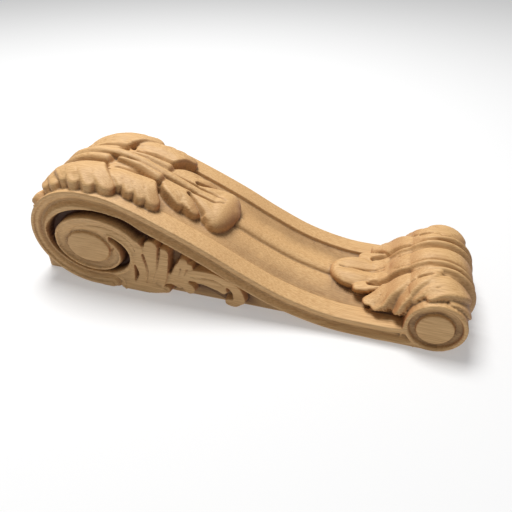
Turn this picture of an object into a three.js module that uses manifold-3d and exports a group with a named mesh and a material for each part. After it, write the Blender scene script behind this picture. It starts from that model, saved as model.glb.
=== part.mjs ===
// Carved wooden corbel bracket, one piece of wood, lying on its flat back.
// Millimetres. X runs along the length, shelf end at -X and small scroll at +X.
// Z points away from the wall, and the origin is the centre of the flat back.
import * as THREE from 'three';
import { mergeVertices } from 'three/addons/utils/BufferGeometryUtils.js';
import Module from 'manifold-3d';

const wasm = await Module();
wasm.setup();

// Driving dimensions. Pattern x is measured from the big volute's shelf-end side.
const WIDTH = 100;
const PATTERN_MIDDLE = 157.5;
const SIDE_RELIEF = 10;
const CORE_HALF = WIDTH / 2 - SIDE_RELIEF;
const SHELF_FACE_X = -5;
const SHELF_FACE_TOP = 58;
const TURN_STEP = 18;
const FRONT_STEPS = 10;
const CORE_STEPS = 17;
const MOULDING_STEPS = 24;
const RIB_STEP = 22;

// Big volute: the outline is an ellipse, and the slot and ring edges are stretched spirals.
const VOLUTE = { x: 46, z: 41, a: 49, b: 41 };
const SLOT_OUTER = { x: 51.3, z: 35.1, stretch: 1.51, radius: 35, shrink: 19.1, from: 43, to: 408 };
const SLOT_INNER = { x: 49.3, z: 34.1, stretch: 1.4, radius: 30.3, shrink: 15, from: 30, to: 402 };
const RING_GROOVE = { x: 54.8, z: 39.2, stretch: 1.72, radius: 17, shrink: 4.2, from: 0, to: 175 };
const EYE_COVE = { x: 45.5, z: 35, a: 22, b: 16, width: 7, depth: 3 };

// Small scroll at the lower end, with an eye set low inside its rim.
const SCROLL = { x: 301, z: 20, radius: 20 };
const SCROLL_RIM_INNER = 17;
const SCROLL_EYE = { x: 301, z: 18.5, radius: 12.3 };
const SCROLL_COVE_DEPTH = 4;
const EYE_DROP = 0.8;

// Front line of the body after the volute's crest, down to the scroll.
const BEAM_LINE = [[66, 80.4], [84, 75.2], [115, 62.7], [143, 49.8], [170, 35.8], [200, 22.8],
  [233, 15], [262, 14], [283, 15]];
const BAND_WIDTH = 13.5;
const BAND_START = 80;
const SCROLL_FOOT = [[250, 1], [262, 0], [301, 0], [301, 12], [283, 15], [250, 14]];
const VOLUTE_FOOT = [[80, 1], [108, 4], [90, 16], [91, 43], [85, 56], [80, 60]];
const SLOT_MOUTH = [[95, 46], [104, 51]];

// Side moulding inside a plain fillet: distance in from the front edge, and depth below the side face.
const FILLET = 2.8;
const SIDE_MOULDING = [[FILLET, 0.1], [3.5, 1.1], [7.5, 2.8], [11.2, 0.9], [11.7, 0.2],
  [BAND_WIDTH + 0.5, 0.2]];

// Front section between the flat borders: across the width, and height over the front line.
const BORDER = 16;
const BORDER_WALL = 3;
const COVE_LINE = [[WIDTH / 2 - BORDER, 0], [WIDTH / 2 - BORDER - 0.4, -BORDER_WALL], [25, -3.2], [14, -1.6],
  [6, -0.2]];
const FRONT_RIB = { base: [150, 0], tip: [318, 0], widths: [6, 6], tops: [2.6, 2.6] };
const FRONT_SPAN = { from: 70, to: 322 };

// Leaf fingers grow from a base beside the midrib and curve outward to their tips.
// Each tip is [along, across, half-width].
const LEAF_SINK = 5;
const UPPER_GROUPS = [
  { base: [36, -9], width: 7, top: 7, tipTop: 5.5, tips: [[38, -39, 6]] },
  { base: [47, -13], width: 8, top: 10.5, tipTop: 5, tips: [[58, -40.5, 7]] },
  { base: [68, -16], width: 11, top: 13, tipTop: 4.8,
    tips: [[71, -41, 4.2], [80, -42.5, 5.2], [91, -43, 5.6], [101.5, -40, 7]] },
  { base: [106, -15], width: 10, top: 11, tipTop: 5,
    tips: [[110, -35, 3.8], [117.6, -37, 4.8], [126.5, -37, 5], [134.5, -35, 6.6]] },
  { base: [138, -6], width: 6, top: 7.2, tipTop: 2.4, tips: [[149.5, -18.6, 5], [161, -17.6, 6.4]] },
  { base: [154, -4], width: 7, top: 7, tipTop: 7.6, tips: [[174, -11, 10]] },
];
const UPPER_MIDRIB = { base: [34, 0], tip: [180, 0], widths: [7, 4], tops: [6.8, 13.8, 13.8, 9.8, 8, 6.2] };
const UPPER_SIDE_RIB = { base: [36, -7], tip: [89, -8], widths: [5, 5], tops: [8, 11.8, 11.4] };
const UPPER_KNOB = { along: 180, half: 24.5, length: 13, top: 10 };
const LOWER_GROUPS = [
  { base: [48, -8], width: 7, top: 8.5, tipTop: 6, tips: [[30, -18.5, 6], [42.5, -35, 7.5]] },
  { base: [78, -20], width: 8, top: 9, tipTop: 1, tips: [[62, -39.5, 6.4]] },
  { base: [98, -27], width: 7, top: 6.5, tipTop: 2.4, tips: [[75, -39.4, 5], [84.4, -43, 4.2]] },
  { base: [114, -34], width: 4, top: 1.5, tipTop: 2.4, tips: [[98.4, -43, 4.4]] },
];
const LOWER_MIDRIB = { base: [18, 0], tip: [139, 0], widths: [13, 11], tops: [8.5, 9, 9, 7.6, 5, 2.2] };
const LOWER_SIDE_RIBS = [
  { base: [44, -12], tip: [139, -13.5], widths: [4, 3], tops: [9, 10, 7.2, 2.4] },
  { base: [72, -20], tip: [139, -24], widths: [6, 6], tops: [9, 8, 5, 1.2] },
  { base: [90, -30], tip: [128, -30], widths: [6, 5], tops: [7.5, 1.5] },
];
const LOWER_CURL = { along: 20, half: 18.5, length: 12, top: 10 };
const LOWER_LINE = [[218, 17.5], [240, 14.8], [258, 15.8], [270, 21], [279, 29]];
const LOWER_WRAP = { from: 140, to: -50 };
const LEAF_BED = [[256, 12], [262, 10], [295, 10], [295, 30], [281, 31], [271, 22.5], [262, 17], [256, 15]];
const LEAF_BED_HALF = 37;

// Side foliage on the sunk ground, in [x, z], with the half-width at each end.
const SIDE_TOP = 8.5;
const STEM_TOP = 6.5;
const SIDE_SPRAYS = [
  { base: [82, 6], tip: [96.6, 42.6], widths: [8, 6.4], tops: [SIDE_TOP, SIDE_TOP] },
  { base: [92, 8], tip: [106.4, 39], widths: [9, 5], tops: [SIDE_TOP, SIDE_TOP] },
  { base: [97, 12], tip: [106, 26], widths: [8, 5], tops: [SIDE_TOP, STEM_TOP] },
  { base: [74, 3.5], tip: [104, 5.5], widths: [3, 4], tops: [SIDE_TOP, SIDE_TOP] },
  { base: [98, 14], tip: [122, 20], widths: [5, 4.5], tops: [STEM_TOP, STEM_TOP] },
  { base: [113, 18], tip: [117, 29], widths: [4.5, 3], tops: [STEM_TOP, STEM_TOP] },
  { base: [116, 18], tip: [121.8, 34.6], widths: [5, 4.2], tops: [STEM_TOP, STEM_TOP] },
  { base: [119, 18], tip: [126.2, 30.8], widths: [5, 3.4], tops: [STEM_TOP, STEM_TOP] },
  { base: [112, 16], tip: [116.4, 11], widths: [4.5, 3], tops: [STEM_TOP, STEM_TOP] },
  { base: [118, 18], tip: [125, 10.5], widths: [5, 4.8], tops: [STEM_TOP, STEM_TOP] },
  { base: [122, 20], tip: [152, 21.4], widths: [5, 7], tops: [STEM_TOP, STEM_TOP] },
  { base: [150, 21], tip: [164.4, 11], widths: [7, 5], tops: [STEM_TOP, STEM_TOP] },
  { base: [146, 19], tip: [151.6, 14.6], widths: [5, 3.4], tops: [STEM_TOP, STEM_TOP] },
  { base: [165, 9], tip: [157.4, 5], widths: [4, 3.2], tops: [STEM_TOP, STEM_TOP] },
];

function pointOnEllipse(shape, degrees) {
  const angle = THREE.MathUtils.degToRad(degrees);
  return [shape.x + shape.a * Math.cos(angle), shape.z + shape.b * Math.sin(angle)];
}

function pointOnSpiral(shape, degrees) {
  const angle = THREE.MathUtils.degToRad(degrees);
  const radius = shape.radius - shape.shrink * (degrees - shape.from) / 360;
  return [shape.x + shape.stretch * radius * Math.cos(angle), shape.z + radius * Math.sin(angle)];
}

function turn(pointAt, shape, from, to, step = TURN_STEP) {
  const count = Math.ceil(Math.abs(to - from) / step);
  return Array.from({ length: count + 1 }, (_, i) => pointAt(shape, from + (to - from) * i / count));
}

function loop(shape) {
  return turn(pointOnEllipse, shape, 0, 360 - TURN_STEP);
}

function circle(shape) {
  return { x: shape.x, z: shape.z, a: shape.radius, b: shape.radius };
}

// A line in the X-Z plane, read by arc length, with its normal on the outer side.
function makeLine(points) {
  const spots = points.map(([x, z]) => new THREE.Vector3(x, 0, z));
  const curve = new THREE.CatmullRomCurve3(spots, false, 'centripetal');
  curve.arcLengthDivisions = 400;
  const length = curve.getLength();
  return {
    length,
    at(along, height) {
      const share = THREE.MathUtils.clamp(along / length, 0, 1);
      const point = curve.getPointAt(share);
      const tangent = curve.getTangentAt(share);
      return [point.x - tangent.z * height, point.z + tangent.x * height];
    },
  };
}

const crest = turn(pointOnEllipse, VOLUTE, 198, 90);
const frontLine = makeLine([...crest, ...BEAM_LINE]);
const scrollTop = turn(pointOnEllipse, circle(SCROLL), LOWER_WRAP.from, LOWER_WRAP.to);
const lowerLine = makeLine([...LOWER_LINE, ...scrollTop]);

function signedVolume(geometry) {
  const position = geometry.getAttribute('position');
  const index = geometry.getIndex();
  const corner = (i) => new THREE.Vector3().fromBufferAttribute(position, index.getX(i));
  let volume = 0;
  for (let i = 0; i < index.count; i += 3) {
    volume += corner(i).dot(corner(i + 1).cross(corner(i + 2))) / 6;
  }
  return volume;
}

function toSolid(source) {
  const geometry = source.clone();
  geometry.deleteAttribute('normal');
  geometry.deleteAttribute('uv');
  const merged = mergeVertices(geometry, 1e-4);
  const triangles = Uint32Array.from(merged.getIndex().array);
  if (signedVolume(merged) < 0) {
    triangles.reverse();
  }
  const vertices = merged.getAttribute('position').array;
  const mesh = new wasm.Mesh({ numProp: 3, vertProperties: vertices, triVerts: triangles });
  mesh.merge();
  return new wasm.Manifold(mesh);
}

function toGeometry(solid) {
  const mesh = solid.getMesh();
  const geometry = new THREE.BufferGeometry();
  geometry.setAttribute('position', new THREE.BufferAttribute(Float32Array.from(mesh.vertProperties), 3));
  geometry.setIndex(new THREE.BufferAttribute(Uint32Array.from(mesh.triVerts), 1));
  return geometry;
}

function joinAll(solids) {
  return solids.reduce((whole, solid) => whole.add(solid));
}

// An outline in the X-Z plane, made solid from y = low to y = high.
function slab(outline, low, high) {
  const shape = new THREE.Shape(outline.map(([x, z]) => new THREE.Vector2(x, z)));
  const geometry = new THREE.ExtrudeGeometry(shape, { depth: high - low, bevelEnabled: false });
  geometry.rotateX(Math.PI / 2);
  geometry.translate(0, high, 0);
  return toSolid(geometry);
}

// A closed section carried from station to station. place(station, u, v) gives each point.
function loft(section, stations, place) {
  const positions = [];
  const index = [];
  const size = section.length;
  stations.forEach((station) => section.forEach(([u, v]) => positions.push(...place(station, u, v))));
  for (let row = 0; row + 1 < stations.length; row += 1) {
    for (let i = 0; i < size; i += 1) {
      const a = row * size + i;
      const b = row * size + (i + 1) % size;
      index.push(a, b, a + size, b, b + size, a + size);
    }
  }
  const outline = section.map(([u, v]) => new THREE.Vector2(u, v));
  const flip = THREE.ShapeUtils.isClockWise(outline);
  const last = (stations.length - 1) * size;
  THREE.ShapeUtils.triangulateShape(outline, []).forEach(([a, b, c]) => {
    index.push(a, flip ? b : c, flip ? c : b);
    index.push(last + a, last + (flip ? c : b), last + (flip ? b : c));
  });
  const geometry = new THREE.BufferGeometry();
  geometry.setAttribute('position', new THREE.BufferAttribute(new Float32Array(positions), 3));
  geometry.setIndex(index);
  return toSolid(geometry);
}

function spread(from, to, count) {
  return Array.from({ length: count + 1 }, (_, i) => from + (to - from) * i / count);
}

// Reads evenly spaced values at a share of their whole length.
function sample(values, share) {
  const place = share * (values.length - 1);
  const before = Math.min(Math.floor(place), values.length - 2);
  return THREE.MathUtils.lerp(values[before], values[before + 1], place - before);
}

// Surfaces that carving stands on: (along, across, height) to a point.
const onFront = (along, across, height) => {
  const [x, z] = frontLine.at(along, height);
  return [x, across, z];
};
const onLower = (along, across, height) => {
  const [x, z] = lowerLine.at(along, height);
  return [x, across, z];
};
const onNearSide = (x, z, height) => [x, -CORE_HALF - height, z];

// One rounded leaf finger: a ridge that bends outward and widens to a blunt, drooping tip.
const FINGER_SECTION = [[-1, -1], [1, -1], [0.9, 0.65], [0, 1], [-0.9, 0.65]];
const FINGER_STATIONS = [[0, 0, 0], [0.5, 0.95, 0.4], [0.92, 0.85, 0.95], [1, 0.35, 1.2]];
const FINGER_BEND = 0.22;
function finger(surface, { base, tip, widths, tops }, bend = 0) {
  const start = new THREE.Vector2(...base);
  const end = new THREE.Vector2(...tip);
  const run = end.clone().sub(start);
  end.addScaledVector(run, widths[1] * 0.6 / run.length());
  const elbow = start.clone().lerp(end, 0.5).add(new THREE.Vector2(-run.y, run.x).multiplyScalar(bend));
  const axis = new THREE.QuadraticBezierCurve(start, elbow, end);
  return loft(FINGER_SECTION, FINGER_STATIONS, ([share, widen, droop], u, v) => {
    const point = axis.getPoint(share);
    const tangent = axis.getTangent(share);
    const half = THREE.MathUtils.lerp(widths[0], widths[1], widen) * (share > 0.9 ? widen : 1);
    const height = v < 0 ? -LEAF_SINK : v * THREE.MathUtils.lerp(tops[0], tops[1], droop);
    return surface(point.x - tangent.y * u * half, point.y + tangent.x * u * half, height);
  });
}

function leafGroups(surface, groups) {
  return groups.flatMap((group) => group.tips.map(([along, across, half]) => finger(surface, {
    base: group.base, tip: [along, across], widths: [group.width, half], tops: [group.top, group.tipTop],
  }, along > group.base[0] ? FINGER_BEND : -FINGER_BEND)));
}

// A long rib down the leaf, in even steps so that it follows the curve.
function rib(surface, { base, tip, widths, tops }) {
  const stations = spread(0, 1, Math.ceil((tip[0] - base[0]) / RIB_STEP));
  return loft(FINGER_SECTION, stations, (share, u, v) => {
    const half = THREE.MathUtils.lerp(widths[0], widths[1], share);
    const height = v < 0 ? -LEAF_SINK : v * sample(tops, share);
    const [along, across] = [0, 1].map((axis) => THREE.MathUtils.lerp(base[axis], tip[axis], share));
    return surface(along, across + u * half, height);
  });
}

// The rolled-over end of a leaf: a domed lump, wider than long.
function knob(surface, { along, half, length, top }) {
  const dome = new THREE.SphereGeometry(1, 12, 7);
  const position = dome.getAttribute('position');
  for (let i = 0; i < position.count; i += 1) {
    const [u, v, height] = [position.getX(i) * length, position.getZ(i) * half, position.getY(i) * top];
    position.setXYZ(i, ...surface(along + u, v, height));
  }
  return toSolid(dome);
}

function mirrored(solid) {
  return solid.mirror([0, 1, 0]);
}

// The body between the sunk sides.
function core() {
  const top = spread(46, frontLine.length, CORE_STEPS).map((along) => frontLine.at(along, 0));
  const end = turn(pointOnEllipse, circle(SCROLL), 165, -90);
  return slab([[SHELF_FACE_X, 0], [SHELF_FACE_X, SHELF_FACE_TOP], ...top, ...end], -CORE_HALF, CORE_HALF);
}

// The raised side: volute, band and scroll, with the spiral slot cut down to the ground.
function nearSide() {
  const low = -WIDTH / 2;
  const high = -CORE_HALF + 0.5;
  const edge = spread(BAND_START, frontLine.length, CORE_STEPS);
  const band = [...edge.map((along) => frontLine.at(along, 0)),
    ...edge.reverse().map((along) => frontLine.at(along, -BAND_WIDTH))];
  const left = turn(pointOnEllipse, VOLUTE, 90, 275);
  const slot = [...turn(pointOnSpiral, SLOT_OUTER, SLOT_OUTER.from, SLOT_OUTER.to),
    ...turn(pointOnSpiral, SLOT_INNER, SLOT_INNER.to, SLOT_INNER.from), ...SLOT_MOUTH];
  const side = joinAll([slab([...left, ...VOLUTE_FOOT], low, high), slab(band, low, high),
    slab(SCROLL_FOOT, low, high), slab(loop(circle(SCROLL)), low, high)]);
  const eye = slab(loop(circle(SCROLL_EYE)), low + EYE_DROP, high);
  const cove = slab(loop(circle({ ...SCROLL, radius: SCROLL_RIM_INNER })), low - 1, low + SCROLL_COVE_DEPTH);
  const hollows = joinAll([slab(slot, low - 1, high + 1), eyeCove(), ringGroove(), mouldingCut()]);
  return side.subtract(cove).add(eye).subtract(hollows);
}

// The hollow moulding that runs with the outer edge, from the scroll over the volute.
function mouldingCut() {
  const outline = makeLine([...turn(pointOnEllipse, VOLUTE, 280, 198), ...crest.slice(1), ...BEAM_LINE]);
  const section = [...SIDE_MOULDING, [BAND_WIDTH + 0.5, -3], [FILLET, -3]];
  return loft(section, spread(0, outline.length, MOULDING_STEPS), (along, inward, depth) => {
    const [x, z] = outline.at(along, -inward);
    return [x, -WIDTH / 2 + depth, z];
  });
}

// The hollow ring round the big volute's flat eye.
function eyeCove() {
  const grow = (by) => ({ ...EYE_COVE, a: EYE_COVE.a + by, b: EYE_COVE.b + by });
  const face = -WIDTH / 2;
  const outer = slab(loop(grow(EYE_COVE.width / 2)), face - 1, face + EYE_COVE.depth);
  const inner = slab(loop(grow(-EYE_COVE.width / 2)), face - 2, face + EYE_COVE.depth + 1);
  return outer.subtract(inner);
}

// The fine groove inside the volute's second turn.
function ringGroove() {
  const section = [[-0.9, -1], [0.9, -1], [0, 1.4]];
  const stations = spread(RING_GROOVE.from, RING_GROOVE.to, 8);
  return loft(section, stations, (degrees, outward, depth) => {
    const [x, z] = pointOnSpiral({ ...RING_GROOVE, radius: RING_GROOVE.radius + outward }, degrees);
    return [x, -WIDTH / 2 + depth, z];
  });
}

// The hollows each side of the front rib, taken out of the body's front.
function frontCut() {
  const across = [...COVE_LINE, ...COVE_LINE.slice().reverse().map(([y, h]) => [-y, h])];
  const section = [...across, [-(WIDTH / 2 - BORDER), 8], [WIDTH / 2 - BORDER, 8]];
  return loft(section, spread(FRONT_SPAN.from, FRONT_SPAN.to, FRONT_STEPS), onFront);
}

const sprays = SIDE_SPRAYS.map((row) => finger(onNearSide, row));
const near = joinAll([nearSide(), ...sprays]);
const halfLeaves = joinAll([...leafGroups(onFront, UPPER_GROUPS), rib(onFront, UPPER_SIDE_RIB),
  ...leafGroups(onLower, LOWER_GROUPS), ...LOWER_SIDE_RIBS.map((row) => rib(onLower, row))]);
const middle = joinAll([rib(onFront, FRONT_RIB), rib(onFront, UPPER_MIDRIB), rib(onLower, LOWER_MIDRIB),
  knob(onFront, UPPER_KNOB), knob(onLower, LOWER_CURL)]);
const leafBed = slab(LEAF_BED, -LEAF_BED_HALF, LEAF_BED_HALF);
const body = joinAll([core(), near, mirrored(near), leafBed]);
const behindWall = slab([[-WIDTH, -WIDTH], [4 * WIDTH, -WIDTH], [4 * WIDTH, 0], [-WIDTH, 0]], -WIDTH, WIDTH);
const carved = joinAll([body.subtract(frontCut()), middle, halfLeaves, mirrored(halfLeaves)]);
const whole = carved.subtract(behindWall);

const oak = new THREE.MeshStandardMaterial({ color: '#b98f63', roughness: 0.7, metalness: 0 });
const corbel = new THREE.Mesh(toGeometry(whole), oak);
corbel.name = 'corbel_bracket';
corbel.position.x = -PATTERN_MIDDLE;

const object = new THREE.Group();
object.add(corbel);
export default object;
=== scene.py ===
"""Carved oak corbel: the finished carving, its wood and a plain studio."""
import math

import bpy
import numpy as np
from bpy.props import FloatProperty, PointerProperty, StringProperty
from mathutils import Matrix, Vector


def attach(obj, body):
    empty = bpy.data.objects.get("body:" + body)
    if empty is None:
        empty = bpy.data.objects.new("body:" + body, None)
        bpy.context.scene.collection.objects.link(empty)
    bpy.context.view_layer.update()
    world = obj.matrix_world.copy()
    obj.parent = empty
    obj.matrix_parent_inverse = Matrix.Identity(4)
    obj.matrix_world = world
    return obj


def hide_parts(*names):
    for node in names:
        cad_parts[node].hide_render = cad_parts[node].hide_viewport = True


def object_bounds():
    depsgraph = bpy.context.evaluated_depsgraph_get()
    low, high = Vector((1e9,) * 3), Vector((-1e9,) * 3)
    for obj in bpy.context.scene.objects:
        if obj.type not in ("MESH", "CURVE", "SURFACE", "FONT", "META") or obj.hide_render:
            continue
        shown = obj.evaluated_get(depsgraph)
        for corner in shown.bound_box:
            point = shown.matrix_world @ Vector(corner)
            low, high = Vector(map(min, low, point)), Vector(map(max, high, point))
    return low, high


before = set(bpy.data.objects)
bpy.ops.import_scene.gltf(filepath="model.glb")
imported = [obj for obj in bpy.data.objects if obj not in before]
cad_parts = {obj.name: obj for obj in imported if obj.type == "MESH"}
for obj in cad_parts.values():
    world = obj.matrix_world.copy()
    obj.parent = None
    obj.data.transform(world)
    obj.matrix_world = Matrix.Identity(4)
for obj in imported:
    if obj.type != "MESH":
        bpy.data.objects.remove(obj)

bl_info = {
    "name": "Carved Corbel",
    "version": (1, 0, 0),
    "blender": (4, 5, 0),
    "location": "View3D > Sidebar > Corbel",
    "description": "A scrolled wooden corbel with volutes, mouldings and acanthus leaves",
    "category": "Mesh",
}

CAD_NODE = "corbel_bracket"
CAD_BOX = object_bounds()
MM = 0.001
MOST_TRIANGLES = 190000

# The pattern is drawn in millimetres, with x measured from near the big volute's shelf-end side.
PATTERN_MIDDLE = 157.5
HALF = 50.0
CORE_HALF = 40.0
CORE_DEPTH = 5.0
SHELF_FACE = (-5.0, 58.0)
GROUND = -10.0

# The two leaf sheets: where they start and end, how far down they go, and how much narrower they are there.
RELIEF_FLOOR = -12.0
FRONT_START = 26
FRONT_UNDERSIDE = -9.0
LOWER_HALF = 47.5
LOWER_UNDERSIDE = -14.0
UNDERSIDE_SHARE = 0.78

VOLUTE = dict(x=46, z=41, a=49, b=41)
SLOT_OUTER = dict(x=51.3, z=35.1, stretch=1.51, radius=35, shrink=19.1, start=43)
SLOT_INNER = dict(x=49.3, z=34.1, stretch=1.4, radius=30.3, shrink=15, start=30)
SLOT_ENDS = (408, 402)
SLOT_TIP = (64.5, 47.2)
RING_GROOVE = dict(x=54.8, z=39.2, stretch=1.72, radius=17, shrink=4.2, start=0)
EYE = dict(x=44.1, z=34.1, a=18.4, b=13.2)
SCROLL = dict(x=301, z=20, a=20, b=20)
SCROLL_RIM = 3.0
SCROLL_EYE = dict(x=301, z=18.5, a=12.3, b=12.3)
BEAM_LINE = [(66, 80.4), (84, 75.2), (115, 62.7), (143, 49.8), (170, 35.8), (200, 22.8),
             (233, 15), (262, 14), (283, 15)]
BAND_WIDTH = 13.5
VOLUTE_FOOT = [(80, 1), (108, 4), (90, 16), (91, 43), (85, 56), (80, 60)]
SLOT_MOUTH = [(95, 46), (104, 51)]

# Side moulding: distance in from the front edge, and height of the face there.
SIDE_MOULDING = [(0, -0.4), (0.4, 0), (2.4, 0), (3.0, -1.5), (3.7, -1.3), (5.2, -1.7), (7.0, -3.6),
                 (8.2, -4.0), (9.6, -2.8), (10.9, -1.2), (11.2, -1.5), (11.6, -0.5), (12.3, -0.1),
                 (13.1, -0.3), (BAND_WIDTH, -0.8)]
SCROLL_FOOT = [(250, 1), (262, 0), (301, 0), (301, 12), (283, 15), (250, 14)]

# Front section: distance from the middle, and height over the front line.
FRONT_SECTION = [(0, 2.6), (2, 2.45), (4, 1.8), (5.2, 0.7), (5.8, -0.9), (6.6, -0.7), (10, -0.9), (16, -1.9),
                 (22, -2.9), (28, -3.4), (33.4, -3.1), (33.9, -0.2), (34.5, 0), (49.4, 0), (HALF, -0.5)]
LEAF_BED = [(258, 6), (295, 6), (295, 30), (281, 31), (271, 22), (262, 16), (258, 14.5)]
LEAF_BED_HALF = 36

# Oak grain, in repeats a metre: about 18 mm long and 0.8 mm wide, wider than real pores so that it shows.
GRAIN_REPEATS = (55, 1300, 1300)

# The studio. The lamp stands behind and above the shelf end. The camera takes the photograph's view.
LAMP_PLACE = (-0.35, 0.35, 1.4)
LAMP_TURN = (-0.24, -0.24, 0)
LAMP_SIZE = 0.6
LAMP_WATTS = 25
SKY_STRENGTH = 0.26
FLOOR_SIZE = 8
FLOOR_GLOW = 0.3
CAMERA_PLACE = (0.09559, -0.29808, 0.24032)
CAMERA_DOWN = 35.67
CAMERA_ROUND = 16.73
CAMERA_LENS = 33.4


# Lines and reliefs

def catmull(points, steps=14):
    """A centripetal Catmull-Rom curve through the points."""
    p = np.array(points, float)
    p = np.vstack([2 * p[0] - p[1], p, 2 * p[-1] - p[-2]])
    out = []
    for a, b, c, d in zip(p[:-3], p[1:-2], p[2:-1], p[3:]):
        t1 = max(np.hypot(*(b - a)), 1e-6) ** 0.5
        t2 = t1 + max(np.hypot(*(c - b)), 1e-6) ** 0.5
        t3 = t2 + max(np.hypot(*(d - c)), 1e-6) ** 0.5
        t = np.linspace(t1, t2, steps, endpoint=False)[:, None]
        ab = a * (t1 - t) / t1 + b * t / t1
        bc = b * (t2 - t) / (t2 - t1) + c * (t - t1) / (t2 - t1)
        cd = c * (t3 - t) / (t3 - t2) + d * (t - t2) / (t3 - t2)
        abc = ab * (t2 - t) / t2 + bc * t / t2
        bcd = bc * (t3 - t) / (t3 - t1) + cd * (t - t1) / (t3 - t1)
        out.append(abc * (t2 - t) / (t2 - t1) + bcd * (t - t1) / (t2 - t1))
    out.append(p[-2][None])
    return np.vstack(out)


def ellipse_points(shape, start, end, step=6):
    """Points round an ellipse, from one angle in degrees to another."""
    angles = np.radians(np.linspace(start, end, int(abs(end - start) / step) + 1))
    return list(zip(shape["x"] + shape["a"] * np.cos(angles), shape["z"] + shape["b"] * np.sin(angles)))


class Line:
    """A line in the X-Z plane, read by arc length, with the normal on its outer side."""

    def __init__(self, points):
        self.points = catmull(points)
        self.run = np.r_[0, np.cumsum(np.hypot(*np.diff(self.points, axis=0).T))]
        self.length = self.run[-1]
        tangent = np.gradient(self.points, self.run, axis=0)
        tangent /= np.hypot(*tangent.T)[:, None]
        self.normal = np.stack([-tangent[:, 1], tangent[:, 0]], 1)

    def at(self, along, height):
        x, z, nx, nz = (np.interp(along, self.run, c) for c in (*self.points.T, *self.normal.T))
        return x + nx * height, z + nz * height


CREST = ellipse_points(VOLUTE, 198, 90)
FRONT_LINE = Line(CREST + BEAM_LINE)
LOWER_START = [(218, 17.5), (240, 14.8), (258, 15.8), (270, 21), (279, 29)]
LOWER_LINE = Line(LOWER_START + ellipse_points(SCROLL, 140, -50))


def smooth(value):
    """An even rise from nought to one."""
    value = np.clip(value, 0, 1)
    return value * value * (3 - 2 * value)


def bent_path(base, tip, bend, count=9):
    """A path from base to tip that leaves the straight line by a share of its length."""
    base, tip = np.array(base, float), np.array(tip, float)
    run = tip - base
    elbow = (base + tip) / 2 + np.array([-run[1], run[0]]) * bend
    t = np.linspace(0, 1, count)[:, None]
    return (1 - t) ** 2 * base + 2 * t * (1 - t) * elbow + t ** 2 * tip


class Relief:
    """A carved face as heights over a flat plan, u along and v across."""

    def __init__(self, u, v, height):
        self.u, self.v = np.broadcast_arrays(u, v)
        self.height = height

    def near(self, path, widths):
        """For each spot near the path: its indices, mm inside the edge, share along, and share across.

        The share along goes past one over the rounded end.
        """
        path = np.array(path, float)
        reach = max(widths) + 2
        low, high = path.min(0) - reach, path.max(0) + reach
        spots = np.nonzero((self.u > low[0]) & (self.u < high[0]) & (self.v > low[1]) & (self.v < high[1]))
        u, v = self.u[spots], self.v[spots]
        steps = np.hypot(*np.diff(path, axis=0).T)
        run = np.r_[0, np.cumsum(steps)] / steps.sum()
        widths = np.interp(run, np.linspace(0, 1, len(widths)), widths)
        inside = np.full(u.shape, -np.inf)
        share, across = np.zeros(u.shape), np.zeros(u.shape)
        for i in range(len(path) - 1):
            step = path[i + 1] - path[i]
            t = ((u - path[i, 0]) * step[0] + (v - path[i, 1]) * step[1]) / (step @ step)
            past_end = np.maximum(t - 1, 0) if i == len(path) - 2 else 0
            t = np.clip(t, 0, 1)
            gap = np.hypot(u - path[i, 0] - t * step[0], v - path[i, 1] - t * step[1])
            wide = widths[i] + t * (widths[i + 1] - widths[i])
            better = wide - gap > inside
            inside[better] = (wide - gap)[better]
            share[better] = (run[i] + (t + past_end) * (run[i + 1] - run[i]))[better]
            across[better] = (gap / wide)[better]
        return spots, inside, share, across

    def ridge(self, path, widths, tops, crown=0.3, wall=1.1, floor=RELIEF_FLOOR):
        """Raises a rounded ridge with steep sides."""
        spots, inside, share, across = self.near(path, widths)
        top = np.interp(share, np.linspace(0, 1, len(tops)), tops)
        shape = top - crown * np.abs(top) * np.clip(across, 0, 1) ** 2.4
        value = floor + (shape - floor) * smooth(1 + inside / wall)
        self.height[spots] = np.maximum(self.height[spots], value)

    def lobes(self, fingers, crown=0.22, rim=2.0, wall=0.8, floor=RELIEF_FLOOR):
        """Raises one smooth surface over several fingers, rounded down to their shared outline.

        The slope of the last heights goes on over a finger's rounded end.
        """
        inside = np.full(self.u.shape, -99.0)
        weight, tops = np.zeros(self.u.shape), np.zeros(self.u.shape)
        for path, widths, heights in fingers:
            spots, depth, share, _ = self.near(path, widths)
            pull = np.exp(np.clip(depth, -8, 12) / 2.5)
            slope = (heights[-1] - heights[-2]) * (len(heights) - 1)
            top = np.interp(share, np.linspace(0, 1, len(heights)), heights)
            tops[spots] += pull * (top + slope * np.clip(share - 1, 0, 0.3))
            weight[spots] += pull
            inside[spots] = np.maximum(inside[spots], depth)
        top = tops / np.maximum(weight, 1e-9)
        value = top * (1 - crown * (1 - np.clip(inside / rim, 0, 1)) ** 2)
        value = floor + (value - floor) * smooth(1 + inside / wall)
        self.height[:] = np.maximum(self.height, np.where(weight > 0, value, floor))

    def groove(self, path, widths, depths):
        """Cuts a round-bottomed groove."""
        spots, inside, share, across = self.near(path, widths)
        depth = np.interp(share, np.linspace(0, 1, len(depths)), depths)
        self.height[spots] -= depth * smooth(1 - np.clip(across, 0, 1))

    def dome(self, centre, radii, top, power=0.5):
        """Raises a rounded boss."""
        inside = 1 - ((self.u - centre[0]) / radii[0]) ** 2 - ((self.v - centre[1]) / radii[1]) ** 2
        value = top * np.clip(inside, 0, 1) ** power
        self.height[:] = np.where(inside > 0, np.maximum(self.height, value), self.height)


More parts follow.
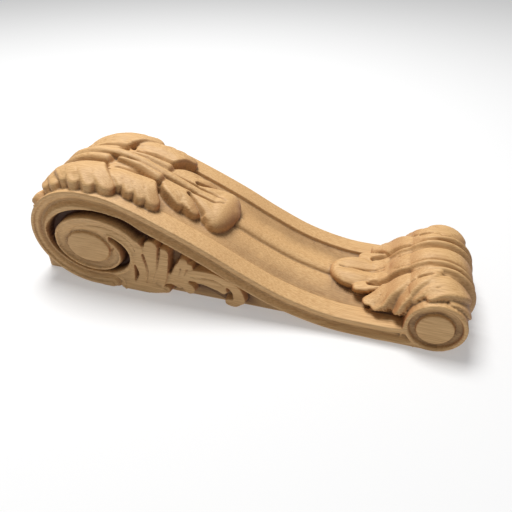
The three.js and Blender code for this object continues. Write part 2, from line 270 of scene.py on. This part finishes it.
# The leaves. Each leaflet is (first base, last base, tips). Its fingers grow side by side between the bases.
# A tip is (along, across, half-width, height at the base, in the middle and at the tip).
FINGER_BEND = 0.14
UPPER_LEAFLETS = [
    ((31, 7), (31, 7), [(36.5, 39, 5.8, 5, 6.5, 5.8)]),
    ((40, 12), (52, 15), [(53, 41, 3.6, 7.5, 9, 4.6), (62, 41.4, 4.8, 8.6, 11, 4.8)]),
    ((60, 20), (84, 21), [(70.5, 41.2, 3.4, 9.6, 11.6, 4.8), (79.8, 43, 4.8, 10, 12.4, 4.8),
                          (91, 43.2, 5, 10, 12.4, 4.8), (102.6, 40, 6.4, 10, 12, 5.2)]),
    ((99, 20), (122, 20), [(109.8, 35.2, 3, 7, 9, 4.6), (117.6, 37, 4, 8, 10, 4.8),
                           (126.8, 37.2, 4.3, 8.6, 10.4, 5), (135.4, 35, 5.8, 9, 10.4, 5.4)]),
    ((134, 6), (144, 6), [(149.5, 18.8, 4.6, 6.6, 6.8, 2.8), (161.5, 17.8, 6, 6.8, 7.2, 2.8)]),
]
LOWER_LEAFLETS = [
    ((50, 12), (50, 12), [(30, 19.4, 5.6, 8.4, 8, 6.8)]),
    ((60, 21), (68, 23), [(39.8, 33.4, 6.4, 9.2, 9.2, 5.6), (45.5, 38, 5.2, 9.2, 9.2, 3),
                          (50.5, 38.6, 3.6, 9, 8.6, 2.4)]),
    ((84, 22), (84, 22), [(61, 40.4, 6.2, 8.8, 8.4, -1.6)]),
    ((100, 26), (106, 29), [(74.4, 39.4, 4.6, 5, 7.6, 1.8), (84.6, 43.2, 3.6, 4, 6.4, 1.2)]),
    ((114, 34), (114, 34), [(98, 43.2, 4, 0, 2.4, 1.8)]),
]


def carve_leaflets(relief, leaflets):
    """Each leaflet is one broad surface cut into rounded tips, with a short vein in from each notch."""
    for first, last, tips in leaflets:
        fingers = []
        for i, (along, across, half, *tops) in enumerate(tips):
            share = i / max(len(tips) - 1, 1)
            base = np.array(first) + share * (np.array(last) - first)
            bend = FINGER_BEND if along > base[0] else -FINGER_BEND
            path = bent_path(base, (along, across), bend, 11)
            widths = (half * 0.6 + 3, half * 0.5 + 4.5, half * 0.5 + 4, half * 0.8 + 1.6, half, half * 0.92)
            low, crest, tip = tops
            falls = [crest - share_down * (crest - tip) for share_down in (0, 0, 0.1, 0.34, 0.66)]
            fingers.append((path, widths, [low, *falls]))
        between = [((left[0] + right[0]) / 2, left[2], right[2]) for left, right in zip(fingers, fingers[1:])]
        fill = [(path[:8], (7, 7, 6.5, 3.4), [(l + r) / 2 for l, r in zip(low[:4], high[:4])])
                for path, low, high in between]
        relief.lobes(fingers + fill)
        for path, *_ in between:
            relief.groove(path[5:8], (0.5, 1.0), (0.1, 1.2))


def carve_upper_leaf(relief):
    """The leaf on the front: its web, leaflets, side ribs, midrib and end knob, then its grooves."""
    web = [(32, 0), (92, 0), (130, 0), (172, 0)]
    relief.ridge(web, (12, 16, 18, 16, 12, 9), (4.5, 6.5, 6.5, 5.6, 5.2, 5.2), 0.1)
    carve_leaflets(relief, UPPER_LEAFLETS)
    relief.ridge([(30, 4.6), (58, 6.2), (85, 8)], (3.2, 4.6, 4.8), (7, 11, 11.8, 11.4), 0.35)
    relief.groove([(48, 12), (65, 14), (88, 15)], (3, 4.4, 3.6), (2, 4.6, 4.2))
    relief.groove([(97, 14), (112, 14.6), (130, 14)], (3, 4.6, 3), (2.4, 4.8, 2.6))
    relief.ridge([(94, 6), (112, 7), (126, 8.4)], (1.5, 3.5, 4.8), (10.4, 11, 10.2), 0.35)
    relief.ridge([(30, 0), (176, 0)], (4.6, 4.8, 4.4, 3.5, 2.9, 2.8), (7.6, 13.4, 13.8, 10, 8, 6.4), 0.14)
    knob = [([(150, 0), (180, 0)], (8, 10, 13), (6.5, 7.6, 8.6)),
            ([(152, 5), (176, 11)], (6, 8, 11), (6.5, 7.6, 7.6))]
    relief.lobes(knob, 0.5, 9)
    relief.dome((179.5, 0), (13.5, 24.5), 10.2, 0.5)
    relief.groove([(131, 4.3), (150, 4.4), (172, 4.3), (178, 2)], (1.3, 1.6, 1.1), (2, 3.5, 1.6))
    relief.groove([(152, 8.5), (158, 11.5), (169, 19)], (2.4, 1.2, 1.8), (5.5, 3, 5))


def carve_lower_leaf(relief):
    """The leaf over the small scroll: its curled end, web, leaflets and ribs, then its grooves."""
    relief.dome((26, 0), (21, 19.4), 10.4, 0.44)
    relief.ridge([(30, 0), (139, 0)], (12, 14, 13, 12, 12, 12), (8, 8.2, 8.6, 6.6, 3.6, 1.6), 0.06)
    relief.ridge([(60, 18), (90, 22), (139, 24)], (7, 9, 9, 8), (8, 8.2, 5.8, 1.8, 0), 0.15)
    relief.ridge([(86, 30), (98, 31), (110, 29)], (6, 7, 5), (7.8, 7, 4, 0.5), 0.25)
    carve_leaflets(relief, LOWER_LEAFLETS)
    relief.ridge([(62, 0), (139, 0)], (6, 7.5, 7.5), (9.2, 9.4, 7.8, 4.8, 2.4), 0.12)
    relief.ridge([(46, 14), (62, 12), (85, 12.4), (110, 13), (139, 14)], (2, 3, 2.6, 2.4),
                 (8.6, 10.2, 10.4, 8.4, 5.2, 2.6), 0.4)
    relief.ridge([(82, 19), (98, 20.6), (139, 22.6)], (2.4, 2.8, 2.6), (9.4, 9.6, 7.2, 4.4, 2.2), 0.4)
    relief.groove([(66, 7.4), (82, 8.3), (139, 9)], (1.3, 2.0, 1.8), (0.8, 3.2, 2.4))
    relief.groove([(74, 17), (95, 16.6), (139, 18.2)], (1.4, 1.9, 1.5), (1, 2.8, 2))
    relief.groove([(88, 24.4), (104, 25), (139, 26.6)], (1.3, 1.8, 1.5), (1, 2.4, 1.4))
    relief.groove([(17, 0), (28, 0), (46, 0)], (10, 11, 8), (2.6, 3.4, 1))
    relief.groove([(12, 0), (30, 0), (50, 2)], (0.9, 1.2, 1.0), (1.2, 2.4, 0.8))
    relief.groove([(38, 15.5), (46, 16.6), (58, 17), (74, 16)], (3.6, 5, 5.4, 2.4), (5, 5.6, 5, 1.2))
    relief.groove([(60, 5.8), (63.6, 7.4), (67, 6)], (0.7, 1.2, 0.6), (0.6, 1.8, 0.3))
    relief.groove([(79, 27), (85, 26)], (1.7, 1.3), (3.5, 2))
    relief.groove([(71, 31), (77, 28)], (1.4, 1.1), (3, 1.6))


# The faces of the corbel

def spiral_points(shape, start, end, step=6):
    """Points round a closing oval spiral, from one angle in degrees to another."""
    turns = np.linspace(start, end, int(abs(end - start) / step) + 1)
    radius = shape["radius"] - shape["shrink"] * (turns - shape["start"]) / 360
    angles = np.radians(turns)
    x = shape["x"] + shape["stretch"] * radius * np.cos(angles)
    return list(zip(x, shape["z"] + radius * np.sin(angles)))


def depth_inside(outline, x, z):
    """Millimetres inside a closed outline, negative outside it."""
    start = np.array(outline, float)
    end = np.roll(start, -1, 0)
    gap = np.full(x.shape, np.inf)
    inside = np.zeros(x.shape, bool)
    for (ax, az), (bx, bz) in zip(start, end):
        run = max((bx - ax) ** 2 + (bz - az) ** 2, 1e-9)
        t = np.clip(((x - ax) * (bx - ax) + (z - az) * (bz - az)) / run, 0, 1)
        gap = np.minimum(gap, (x - ax - t * (bx - ax)) ** 2 + (z - az - t * (bz - az)) ** 2)
        if az != bz:
            crossing = (az > z) != (bz > z)
            inside ^= crossing & (x < (bx - ax) * (z - az) / (bz - az) + ax)
    return np.where(inside, 1, -1) * np.sqrt(gap)


def eye_gap(shape, x, z):
    """Millimetres outside a round or oval eye."""
    spread = np.hypot((x - shape["x"]) / shape["a"], (z - shape["z"]) / shape["b"])
    return (spread - 1) * (shape["a"] + shape["b"]) / 2


def slot_outline():
    """The open slot between the big volute's turns."""
    outer, inner = SLOT_ENDS
    return (spiral_points(SLOT_OUTER, SLOT_OUTER["start"], outer) + [SLOT_TIP]
            + spiral_points(SLOT_INNER, inner, SLOT_INNER["start"]) + SLOT_MOUTH)


def side_height(x, z):
    """The volute's carved side, as heights from its flat face, and the depth inside its open slot."""
    relief = Relief(x, z, np.full(x.shape, GROUND))
    in_slot = depth_inside(slot_outline(), x, z)
    in_ring = depth_inside(spiral_points(SLOT_INNER, SLOT_INNER["start"], SLOT_INNER["start"] + 360), x, z)
    body = depth_inside(ellipse_points(VOLUTE, 90, 275) + VOLUTE_FOOT, x, z)
    gap = eye_gap(EYE, x, z)
    cove = -1.0 - 2.6 * np.clip(1 - gap / 9, 0, 1) ** 1.5
    lip = -0.2 - 0.7 * smooth(1 + in_slot / 0.8)
    ring = np.where(-in_slot < 2.4, lip, cove)
    ring = np.where(gap < 0, -0.8 - 0.5 * smooth(1 + gap / 1.2), ring)
    face = np.where(in_ring > 0, ring, np.where(-in_slot < 3, lip, -1.1))
    relief.height[:] = np.where(body > 0, face, relief.height)
    relief.groove(spiral_points(RING_GROOVE, 0, 175)[::2], (0.8, 1.0, 0.8), (0.6, 1.1, 0.6))
    relief.groove([(64.6, 40), (65.2, 36), (61, 31)], (0.6, 1.3, 0.6), (0.3, 1.5, 0.4))
    relief.height[:] = np.where(depth_inside(SCROLL_FOOT, x, z) > 0, -0.8, relief.height)
    return relief, in_slot


def carve_band(relief):
    """The moulded band that follows the front edge and the volute's outside."""
    path = catmull(ellipse_points(VOLUTE, 285, 198)[:-1] + CREST + BEAM_LINE)
    spots, inside, share, _ = relief.near(path[::2], (BAND_WIDTH,))
    distance = BAND_WIDTH - inside
    value = np.interp(distance, *zip(*SIDE_MOULDING))
    edge = smooth((inside + 0.7) / 1.0)
    value = np.where(inside > 0, value, GROUND + (value - GROUND) * edge)
    old = relief.height[spots]
    relief.height[spots] = np.where(inside > 0, value, np.maximum(old, value))


def carve_scroll(relief):
    """The small scroll's end: a thin rim, a cove and a raised eye."""
    x, z = relief.u, relief.v
    outside = eye_gap(SCROLL, x, z)
    gap = eye_gap(SCROLL_EYE, x, z)
    rim = -0.15 - 0.6 * (np.abs(outside + SCROLL_RIM / 2) / (SCROLL_RIM / 2)) ** 2.5
    cove = -2.2 - 2.0 * np.clip(1 - gap / 5, 0, 1)
    face = np.where(outside > -SCROLL_RIM, rim, np.minimum(cove, -0.8))
    face = np.where(gap < 0, -0.9 - 0.5 * smooth(1 + gap / 1.2), face)
    relief.height[:] = np.where(outside < 0, face, relief.height)


# The foliage on the sides, as ridges (path, half-widths, heights) and grooves (path, half-widths, depths).
SIDE_RIDGES = [
    ([(86, 5), (94, 20), (97.4, 43.6)], (6, 6.8, 6.8, 5.4), (-1.4, -1.0, -1.4, -2.0)),
    ([(98, 9), (103.6, 24), (106.8, 39.6)], (6, 6, 5, 4.2), (-1.8, -1.2, -1.4, -2.4)),
    ([(80, 4), (86.6, 15), (88.4, 32)], (3.2, 3.8, 3.4, 3), (-1.2, -0.9, -1, -1.6)),
    ([(70, 3), (90, 3.4), (106, 5.6)], (3, 4, 3), (-1, -1.2, -2.2)),
    ([(99, 13), (110, 17), (122, 20)], (4.6, 4.6, 4.6), (-3, -2.8, -3)),
    ([(113, 19), (117.1, 29)], (3.2, 2.6), (-3, -3.4)),
    ([(116, 20), (121.9, 34)], (4.4, 3.6), (-2.6, -3.2)),
    ([(119, 20), (126.2, 30.6)], (4.4, 2.9), (-2.6, -3.4)),
    ([(111, 14.5), (116.4, 11.4)], (3, 2.5), (-3.2, -3.6)),
    ([(117, 17.5), (125, 10.3)], (3.4, 4.4), (-3, -2.8)),
    ([(121, 20.5), (135, 23.6), (150, 21.6), (161.5, 16), (165, 8.4)], (4.6, 6, 6.6, 5.4, 4),
     (-3.2, -2.6, -2.4, -2.8, -3.4)),
    ([(164.6, 8.6), (160.6, 4.6), (156, 4.4)], (4, 3.4, 2.8), (-3.4, -3.2, -3.6)),
    ([(142, 20), (149.4, 17), (152, 14.4)], (4, 3.6, 2.8), (-2.8, -2.6, -3.2)),
]
SIDE_GROOVES = [
    ([(90.2, 36), (92.5, 22), (90.6, 10)], (1.1, 1.0, 0.7), (5, 2.4, 0.8)),
    ([(82.4, 25), (83, 17), (80.6, 10)], (0.8, 2.2, 0.8), (4, 9, 3)),
    ([(103.6, 42), (100.6, 26), (95, 11)], (1.4, 0.9, 0.6), (5, 1.4, 0.4)),
    ([(126, 17), (129.6, 16.2)], (1.6, 2.6), (5, 8)),
    ([(119.2, 28), (117.6, 22)], (1.0, 0.7), (2, 0.4)),
    ([(124.4, 28), (121.6, 22)], (1.0, 0.7), (2, 0.4)),
    ([(127, 22), (145, 23.4), (158, 17)], (0.9, 1.1, 0.9), (0.9, 1.2, 0.4)),
    ([(155.4, 17.4), (157.6, 13), (157, 9.4)], (1.3, 2.3, 1.8), (4, 9, 8)),
]


def carve_side_foliage(relief):
    def curved(path):
        return catmull(path, 6) if len(path) > 2 else path
    for path, widths, tops in SIDE_RIDGES:
        relief.ridge(curved(path), widths, tops, 0.0, 0.9, GROUND - 0.5)
    for path, widths, depths in SIDE_GROOVES:
        relief.groove(curved(path), widths, depths)
    relief.height[:] = np.maximum(relief.height, GROUND)


# Meshes

def closed_sheet(name, top, bottom):
    """A closed mesh between two grids of points, (rows, columns, 3) in pattern millimetres."""
    rows, columns = top.shape[:2]
    count = rows * columns
    vertices = np.concatenate([top.reshape(-1, 3), bottom.reshape(-1, 3)])
    grid = np.arange(count).reshape(rows, columns)
    quads = np.stack([grid[:-1, :-1], grid[1:, :-1], grid[1:, 1:], grid[:-1, 1:]], -1).reshape(-1, 4)
    rim = np.concatenate([grid[0, :-1], grid[:-1, -1], grid[-1, :0:-1], grid[:0:-1, 0]])
    after = np.roll(rim, -1)
    skirt = np.stack([rim, after, after + count, rim + count], -1)
    faces = np.concatenate([quads, quads[:, ::-1] + count, skirt])
    return new_object(name, vertices, faces)


def new_object(name, vertices, faces):
    """A mesh object from pattern millimetres, with its doubles merged and its faces pointing out."""
    vertices = (np.asarray(vertices, float) - (PATTERN_MIDDLE, 0, 0)) * MM
    mesh = bpy.data.meshes.new(name)
    mesh.from_pydata(vertices.tolist(), [], [list(face) for face in faces])
    made = bpy.data.objects.new(name, mesh)
    bpy.context.collection.objects.link(made)
    select_only(made)
    bpy.ops.object.mode_set(mode="EDIT")
    bpy.ops.mesh.select_all(action="SELECT")
    bpy.ops.mesh.remove_doubles(threshold=1e-6)
    bpy.ops.mesh.normals_make_consistent(inside=False)
    bpy.ops.object.mode_set(mode="OBJECT")
    return made


def select_only(*objects):
    bpy.ops.object.select_all(action="DESELECT")
    for made in objects:
        made.select_set(True)
    bpy.context.view_layer.objects.active = objects[0]


def apply_modifier(made, kind, **settings):
    modifier = made.modifiers.new(kind.title(), kind)
    for key, value in settings.items():
        setattr(modifier, key, value)
    select_only(made)
    bpy.ops.object.modifier_apply(modifier=modifier.name)


def spaced(start, end, step):
    """Even places from start to end, no further apart than the step."""
    return np.linspace(start, end, int(math.ceil(abs(end - start) / step)) + 1)


def front_sheet(step):
    """The front face from the crest's foot to the small scroll, with the upper leaf on it."""
    along = spaced(FRONT_START, FRONT_LINE.length, step)[:, None]
    across = spaced(-HALF, HALF, step)[None, :]
    ground = np.interp(np.abs(across), *zip(*FRONT_SECTION)) + 0 * along
    relief = Relief(along, np.abs(across), ground)
    carve_upper_leaf(relief)
    x, z = FRONT_LINE.at(along, relief.height)
    low_x, low_z = FRONT_LINE.at(along, FRONT_UNDERSIDE)
    y = across + 0 * along
    top = np.stack([x, y, z], -1)
    bottom = np.stack([low_x + 0 * y, y * UNDERSIDE_SHARE, low_z + 0 * y], -1)
    return closed_sheet("front", top, bottom)


def lower_sheet(step):
    """The leaf over the small scroll. Its walls lean in below the lip, less so further up the scroll."""
    along = spaced(0, LOWER_LINE.length, step)[:, None]
    across = spaced(-LOWER_HALF, LOWER_HALF, step)[None, :]
    relief = Relief(along, np.abs(across), np.full((along.size, across.size), RELIEF_FLOOR))
    carve_lower_leaf(relief)
    x, z = LOWER_LINE.at(along, relief.height)
    low_x, low_z = LOWER_LINE.at(along, LOWER_UNDERSIDE)
    lean = np.interp(along, (40, 60), (0.65, 0.25))
    lip = np.interp(along, (40, 60), (5, -4))
    y = across * (1 - lean * np.clip((lip - relief.height) / (lip - RELIEF_FLOOR), 0, 1))
    bottom = np.stack([low_x + 0 * y, y * UNDERSIDE_SHARE, low_z + 0 * y], -1)
    return closed_sheet("lower leaf", np.stack([x, y, z], -1), bottom)


def outline_at(x):
    """Upper and lower edge of the side at each x."""
    def half_ellipse(shape):
        return shape["b"] * np.sqrt(np.clip(1 - ((x - shape["x"]) / shape["a"]) ** 2, 0, 1))
    volute_top = (VOLUTE["x"], VOLUTE["z"] + VOLUTE["b"])
    beam_end = BEAM_LINE[-1][0]
    scroll_start = SCROLL["x"] - SCROLL["a"]
    beam = np.interp(x, *catmull([volute_top] + BEAM_LINE).T)
    top = np.where(x < VOLUTE["x"], VOLUTE["z"] + half_ellipse(VOLUTE), np.where(x < beam_end, beam, 0))
    top = np.maximum(top, np.where(x > scroll_start, SCROLL["z"] + half_ellipse(SCROLL), 0))
    bottom = np.where(x < VOLUTE["x"], VOLUTE["z"] - half_ellipse(VOLUTE), 0)
    bottom = np.where(x > SCROLL["x"], SCROLL["z"] - half_ellipse(SCROLL), bottom)
    return top, bottom


def side_sheets(step):
    """The two carved sides, one the mirror of the other."""
    turn = np.linspace(math.pi, math.pi / 2, 60)
    left = VOLUTE["x"] + VOLUTE["a"] * np.cos(turn)
    right = SCROLL["x"] - SCROLL["a"] * np.cos(turn)
    x = np.unique(np.concatenate([left, spaced(VOLUTE["x"], SCROLL["x"], step), right]))
    top, bottom = outline_at(x)
    share = np.linspace(0, 1, int((2 * VOLUTE["b"] + 2) / step))[None, :]
    z = bottom[:, None] + (top - bottom)[:, None] * share
    x = x[:, None] + 0 * z
    relief, in_slot = side_height(x, z)
    carve_band(relief)
    relief.height[:] += (GROUND - relief.height) * smooth(0.5 + in_slot / 0.9)
    carve_scroll(relief)
    carve_side_foliage(relief)
    sheets = []
    for side in (-1, 1):
        face = np.stack([x, side * (HALF + relief.height), z], -1)
        back = np.stack([x, side * (CORE_HALF - 2) + 0 * x, z], -1)
        sheets.append(closed_sheet("side", face, back))
    return sheets


def block(name, outline, half):
    """A plain block between two copies of an outline."""
    count = len(outline)
    vertices = [(x, y, z) for y in (-half, half) for x, z in outline]
    faces = [list(range(count)), list(range(2 * count - 1, count - 1, -1))]
    faces += [[i, (i + 1) % count, (i + 1) % count + count, i + count] for i in range(count)]
    return new_object(name, vertices, faces)


def leaf_bed():
    """Wood under the lower leaf, where it meets the beam."""
    return block("leaf bed", LEAF_BED, LEAF_BED_HALF)


def core_block():
    """The solid middle, from the shelf face to the small scroll."""
    top = [tuple(FRONT_LINE.at(s, -CORE_DEPTH)) for s in spaced(46, FRONT_LINE.length, 6)]
    end = ellipse_points(SCROLL, 165, -90)
    outline = [(SHELF_FACE[0], 0), SHELF_FACE] + top + end
    return block("core", outline, CORE_HALF)


class CorbelSizes(bpy.types.PropertyGroup):
    """Sizes and colours that a user would change."""

    cut: FloatProperty(name="Carving step", description="Finest step of the carved surface", default=0.6 * MM,
                       min=0.3 * MM, unit="LENGTH")
    light_wood: StringProperty(name="Light wood", description="Pale early wood, sRGB hex", default="d9b07a")
    dark_wood: StringProperty(name="Dark wood", description="Darker late wood, sRGB hex", default="b88b56")
    end_wood: StringProperty(name="End grain", description="Redder end grain, sRGB hex", default="9a6138")
    # Painted shade: this dark tone is multiplied into the creases, slots and sunk parts where shade falls.
    painted_shade_colour: StringProperty(name="Painted shade colour", description="Tone of the sunk parts, sRGB hex",
                                 default="54301c")
    backdrop: StringProperty(name="Backdrop", description="Paper floor, sRGB hex", default="c8c8c8")


class CORBEL_OT_carve(bpy.types.Operator):
    """Carves the corbel from its block"""
    bl_idname = "corbel.carve"
    bl_label = "Carve Corbel"

    def execute(self, context):
        step = context.scene.corbel.cut / MM
        blanks = [core_block(), leaf_bed(), front_sheet(step), lower_sheet(step), *side_sheets(step)]
        select_only(*blanks)
        bpy.ops.object.join()
        corbel = context.object
        corbel.name = "carved_corbel"
        apply_modifier(corbel, "REMESH", mode="VOXEL", voxel_size=step * MM, use_smooth_shade=True)
        triangles = sum(len(face.vertices) - 2 for face in corbel.data.polygons)
        apply_modifier(corbel, "DECIMATE", ratio=min(1.0, MOST_TRIANGLES / triangles))
        keep_inside(corbel)
        corbel.data.shade_smooth()
        mark_recesses(corbel)
        corbel.data.materials.append(oak(context.scene.corbel))
        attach(corbel, "root")
        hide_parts(CAD_NODE)
        return {"FINISHED"}


def keep_inside(made):
    """Holds every vertex inside the frame's box, and flat on its back."""
    points = np.empty(len(made.data.vertices) * 3)
    made.data.vertices.foreach_get("co", points)
    points = np.clip(points.reshape(-1, 3), *np.array(CAD_BOX))
    made.data.vertices.foreach_set("co", points.ravel())
    made.data.update()


def mark_recesses(made):
    """Stores painted shade for each vertex, from how deep in a crease or slot it lies, and how much end grain
    it shows.
    """
    mesh = made.data
    count = len(mesh.vertices)
    points, normals = np.empty(count * 3), np.empty(count * 3)
    mesh.vertices.foreach_get("co", points)
    mesh.vertices.foreach_get("normal", normals)
    points, normals = points.reshape(-1, 3), normals.reshape(-1, 3)
    edges = np.empty(len(mesh.edges) * 2, int)
    mesh.edges.foreach_get("vertices", edges)
    a, b = edges.reshape(-1, 2).T
    links = np.bincount(a, minlength=count) + np.bincount(b, minlength=count)
    soft = points.copy()
    recess_shade = np.zeros(count)
    for rounds, share in ((4, 0.9), (12, 0.35)):
        for _ in range(rounds):
            spread = [np.bincount(a, soft[b, i], count) + np.bincount(b, soft[a, i], count) for i in range(3)]
            soft = np.stack(spread, -1) / links[:, None]
        recess_shade += share * ((soft - points) * normals).sum(1) / MM
    depth = HALF - np.abs(points[:, 1]) / MM
    # Painted shade: the open slot is painted dark all over, and the sides' sunk ground and sideways-facing
    # walls are darkened where shade falls, on top of the crease depth.
    in_slot = depth_inside(slot_outline(), points[:, 0] / MM + PATTERN_MIDDLE, points[:, 2] / MM)
    slot = smooth((in_slot + 0.6) / 1.0) * smooth((depth - 1.5) / 4)
    sunk = 0.22 * smooth((depth - 6) / 4) * np.abs(normals[:, 1]) ** 2
    recess_shade = np.maximum(0.75 * np.clip(recess_shade, 0, 1) + sunk, slot)
    for name, amount in (("recess_shade", recess_shade), ("end_grain", normals[:, 0] ** 2)):
        layer = mesh.attributes.new(name, "FLOAT", "POINT")
        layer.data.foreach_set("value", np.clip(amount, 0, 1))


def linear(hex_colour):
    """sRGB hex to linear RGBA."""
    def channel(i):
        value = int(hex_colour[i:i + 2], 16) / 255
        return value / 12.92 if value <= 0.04045 else ((value + 0.055) / 1.055) ** 2.4
    return (*(channel(i) for i in (0, 2, 4)), 1.0)


def add_node(tree, kind, links=(), **settings):
    """Adds a node, sets its properties and inputs, and links (from socket, to input name)."""
    node = tree.nodes.new(kind)
    for key, value in settings.items():
        if hasattr(node, key):
            setattr(node, key, value)
        else:
            node.inputs[key].default_value = value
    for source, target in links:
        tree.links.new(source, node.inputs[target])
    return node


def oak(sizes):
    """Pale sanded oak, unfinished: fine grain along the length, redder end grain, and painted shade darkening
    the creases, slots and sunk parts.
    """
    material = bpy.data.materials.new("sanded pale oak")
    material.use_nodes = True
    tree = material.node_tree
    shader = tree.nodes["Principled BSDF"]
    shader.inputs["Roughness"].default_value = 0.62
    shader.inputs["IOR"].default_value = 1.5
    place = add_node(tree, "ShaderNodeTexCoord").outputs["Object"]
    grain_map = add_node(tree, "ShaderNodeMapping", [(place, "Vector")], Scale=GRAIN_REPEATS)
    grain = add_node(tree, "ShaderNodeTexNoise", [(grain_map.outputs[0], "Vector")], Scale=1.0, Detail=5,
                     Roughness=0.6)
    ramp = add_node(tree, "ShaderNodeValToRGB", [(grain.outputs[0], "Fac")])
    ramp.color_ramp.elements[0].position = 0.3
    ramp.color_ramp.elements[0].color = linear(sizes.dark_wood)
    ramp.color_ramp.elements[1].position = 0.62
    ramp.color_ramp.elements[1].color = linear(sizes.light_wood)
    # Painted shade: the per-vertex recess amount multiplies the dark shade colour into creases, slots and
    # sunk parts.
    recess_shade = add_node(tree, "ShaderNodeAttribute", attribute_name="recess_shade")
    shade = add_node(tree, "ShaderNodeMapRange", [(recess_shade.outputs["Fac"], "Value")])
    shade.inputs["From Min"].default_value = 0.04
    shade.inputs["From Max"].default_value = 1.0
    shade.inputs["To Max"].default_value = 0.96
    end_grain = add_node(tree, "ShaderNodeAttribute", attribute_name="end_grain")
    ends = add_node(tree, "ShaderNodeMapRange", [(end_grain.outputs["Fac"], "Value")])
    ends.inputs["From Min"].default_value = 0.15
    ends.inputs["To Max"].default_value = 0.85
    wood = add_node(tree, "ShaderNodeMix", [(ends.outputs[0], "Factor")], data_type="RGBA")
    tree.links.new(ramp.outputs[0], wood.inputs[6])
    wood.inputs[7].default_value = linear(sizes.end_wood)
    painted_shade_mix = add_node(tree, "ShaderNodeMix", [(shade.outputs[0], "Factor")], data_type="RGBA",
                       blend_type="MULTIPLY")
    tree.links.new(wood.outputs[2], painted_shade_mix.inputs[6])
    painted_shade_mix.inputs[7].default_value = linear(sizes.painted_shade_colour)
    tree.links.new(painted_shade_mix.outputs[2], shader.inputs["Base Color"])
    bump = add_node(tree, "ShaderNodeBump", [(grain.outputs[0], "Height")], Strength=0.2, Distance=0.0003)
    tree.links.new(bump.outputs[0], shader.inputs["Normal"])
    return material


class CORBEL_OT_stage(bpy.types.Operator):
    """Sets the floor, the soft lamp, the even sky and the camera"""
    bl_idname = "corbel.stage"
    bl_label = "Set Stage"

    def execute(self, context):
        bpy.ops.object.select_all(action="DESELECT")
        bpy.ops.mesh.primitive_plane_add(size=FLOOR_SIZE)
        floor = context.object
        floor.name = "floor"
        paper = bpy.data.materials.new("white paper sweep")
        paper.use_nodes = True
        shader = paper.node_tree.nodes["Principled BSDF"]
        shader.inputs["Base Color"].default_value = linear(context.scene.corbel.backdrop)
        shader.inputs["Roughness"].default_value = 0.9
        shader.inputs["Emission Color"].default_value = (1, 1, 1, 1)
        shader.inputs["Emission Strength"].default_value = FLOOR_GLOW
        floor.data.materials.append(paper)
        world = bpy.data.worlds.new("studio")
        world.use_nodes = True
        world.node_tree.nodes["Background"].inputs["Color"].default_value = (1, 1, 1, 1)
        world.node_tree.nodes["Background"].inputs["Strength"].default_value = SKY_STRENGTH
        context.scene.world = world
        context.scene.view_settings.view_transform = "Standard"
        bpy.ops.object.light_add(type="AREA", location=LAMP_PLACE, rotation=LAMP_TURN)
        lamp = context.object
        lamp.data.energy = LAMP_WATTS
        lamp.data.size = LAMP_SIZE
        bpy.ops.object.camera_add(location=CAMERA_PLACE,
                                  rotation=(math.radians(90 - CAMERA_DOWN), 0, math.radians(CAMERA_ROUND)))
        camera = context.object
        camera.data.lens = CAMERA_LENS
        camera.data.sensor_width = 36
        context.scene.camera = camera
        return {"FINISHED"}


class CORBEL_PT_panel(bpy.types.Panel):
    """Lists the steps of the carving"""
    bl_label = "Carved Corbel"
    bl_space_type = "VIEW_3D"
    bl_region_type = "UI"
    bl_category = "Corbel"

    def draw(self, context):
        for name in CorbelSizes.__annotations__:
            self.layout.prop(context.scene.corbel, name)
        for step in (CORBEL_OT_carve, CORBEL_OT_stage):
            self.layout.operator(step.bl_idname)


CLASSES = (CorbelSizes, CORBEL_OT_carve, CORBEL_OT_stage, CORBEL_PT_panel)


def register():
    for cls in CLASSES:
        bpy.utils.register_class(cls)
    bpy.types.Scene.corbel = PointerProperty(type=CorbelSizes)


def unregister():
    del bpy.types.Scene.corbel
    for cls in reversed(CLASSES):
        bpy.utils.unregister_class(cls)


def main():
    register()
    bpy.ops.corbel.carve()
    bpy.ops.corbel.stage()


if __name__ == "__main__":
    main()
